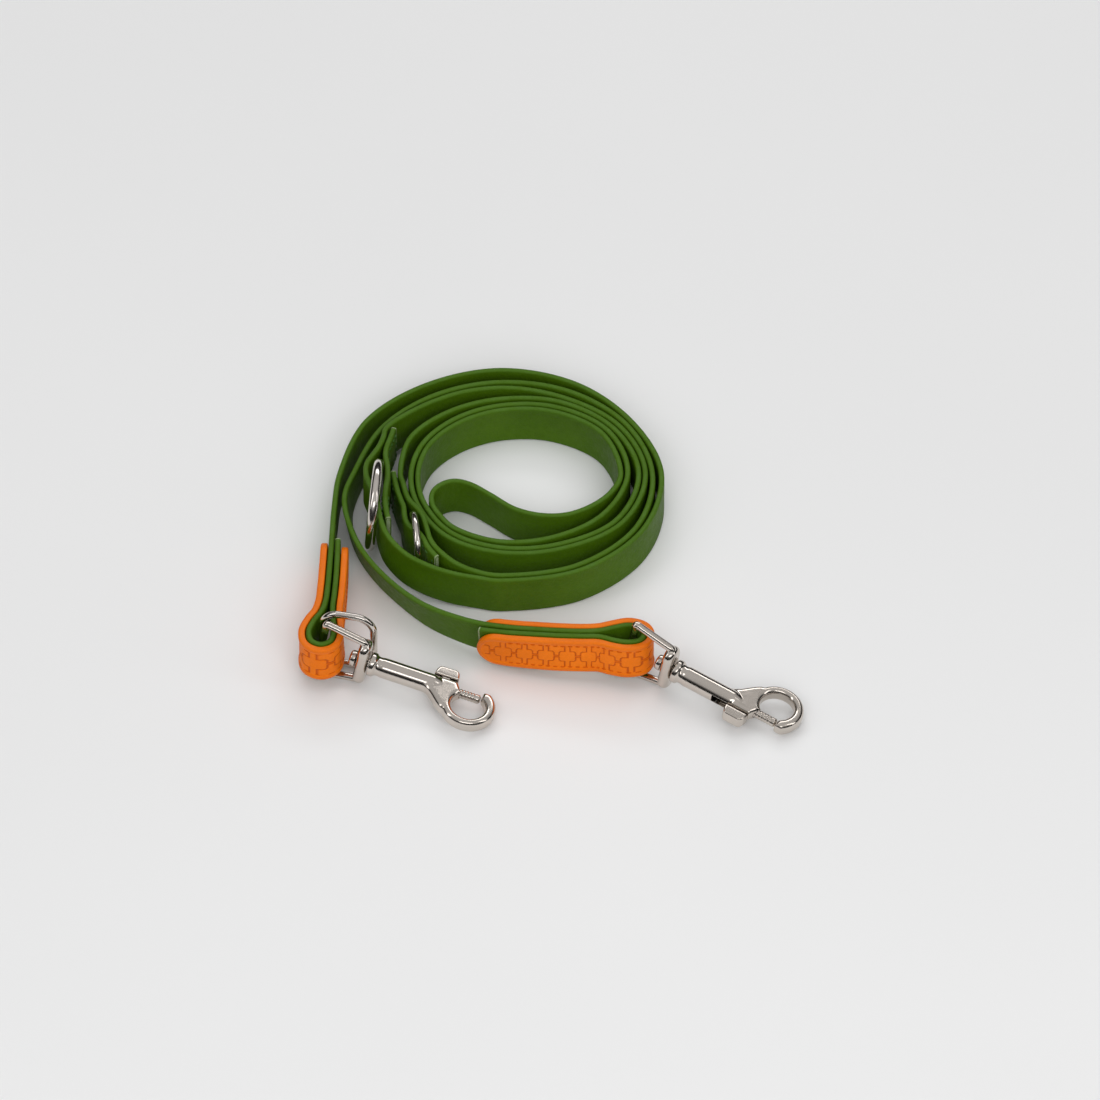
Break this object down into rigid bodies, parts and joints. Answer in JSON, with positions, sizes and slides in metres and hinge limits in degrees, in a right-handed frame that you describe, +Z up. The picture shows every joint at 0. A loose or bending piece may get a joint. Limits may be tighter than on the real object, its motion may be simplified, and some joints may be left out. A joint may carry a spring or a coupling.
{
  "type": "training leash",
  "caption": "Flat coated strap doubled and coiled on its edge, with a swivel hook at each end and three rings along it.",
  "frame": {"origin": "centre of the bounding box's bottom face, on the surface that the coiled leash lies on", "axes": "+Z up, +X along the longest side, from the left end's loop to the right snap, +Y away from the snaps"},
  "size_m": [0.1724, 0.1658, 0.0319],
  "materials": {
    "strap": "coated webbing, dark green, fine leather-like grain, low sheen",
    "tab": "moulded orange, matte, with a raised rim and an embossed chain pattern",
    "nickel": "polished nickel plate, slightly warm",
    "spring_steel": "drawn spring wire"
  },
  "bodies": {
    "leash": {"strap": "strap", "large_ring_patch": "strap", "small_ring_patch": "strap", "left_tab": "tab", "right_tab": "tab"},
    "large_ring_body": {"large_ring": "nickel"},
    "small_ring_body": {"small_ring": "nickel"},
    "end_ring_body": {"end_ring": "nickel"},
    "left_eye": {"left_snap_eye": "nickel"},
    "left_snap": {"left_snap_body": "nickel", "left_snap_stud": "nickel", "left_snap_spring": "spring_steel"},
    "left_bolt": {"left_snap_bolt": "nickel", "left_snap_knob": "nickel"},
    "right_eye": {"right_snap_eye": "nickel"},
    "right_snap": {"right_snap_body": "nickel", "right_snap_stud": "nickel", "right_snap_spring": "spring_steel"},
    "right_bolt": {"right_snap_bolt": "nickel", "right_snap_knob": "nickel"}
  },
  "joints": [
    {"name": "large_ring_turn", "type": "hinge", "parent": "leash", "child": "large_ring_body", "pos_m": [-0.06075, 0.0143, 0.016], "axis": [0.9942, -0.076, -0.076], "continuous": true},
    {"name": "small_ring_turn", "type": "hinge", "parent": "leash", "child": "small_ring_body", "pos_m": [-0.04655, -0.001, 0.0125], "axis": [0.9931, 0.117, 0], "continuous": true},
    {"name": "end_ring_swing", "type": "hinge", "parent": "leash", "child": "end_ring_body", "pos_m": [-0.07305, -0.0471, 0.01285], "axis": [0, 0, 1], "range_deg": [-6, 6]},
    {"name": "left_eye_hinge", "type": "hinge", "parent": "leash", "child": "left_eye", "pos_m": [-0.0783, -0.0519, 0.0133], "axis": [0.1565, -0.0467, 0.9866], "range_deg": [-25, 3]},
    {"name": "left_swivel", "type": "hinge", "parent": "left_eye", "child": "left_snap", "pos_m": [-0.0783, -0.0519, 0.0133], "axis": [-0.9455, 0.2819, 0.1633], "continuous": true},
    {"name": "left_bolt_slide", "type": "slide", "parent": "left_snap", "child": "left_bolt", "axis": [-0.9455, 0.2819, 0.1633], "range_m": [0, 0.008], "stiffness_N_per_m": 150, "springref_m": -0.004, "deforming": ["left_snap_spring"]},
    {"name": "right_eye_hinge", "type": "hinge", "parent": "leash", "child": "right_eye", "pos_m": [0.02725, -0.0516, 0.0133], "axis": [0.1424, -0.0799, 0.9866], "range_deg": [-15, 15]},
    {"name": "right_swivel", "type": "hinge", "parent": "right_eye", "child": "right_snap", "pos_m": [0.02725, -0.0516, 0.0133], "axis": [0.8604, -0.4828, -0.1633], "continuous": true},
    {"name": "right_bolt_slide", "type": "slide", "parent": "right_snap", "child": "right_bolt", "axis": [-0.8604, 0.4828, 0.1633], "range_m": [0, 0.008], "stiffness_N_per_m": 150, "springref_m": -0.004, "deforming": ["right_snap_spring"]}
  ]
}
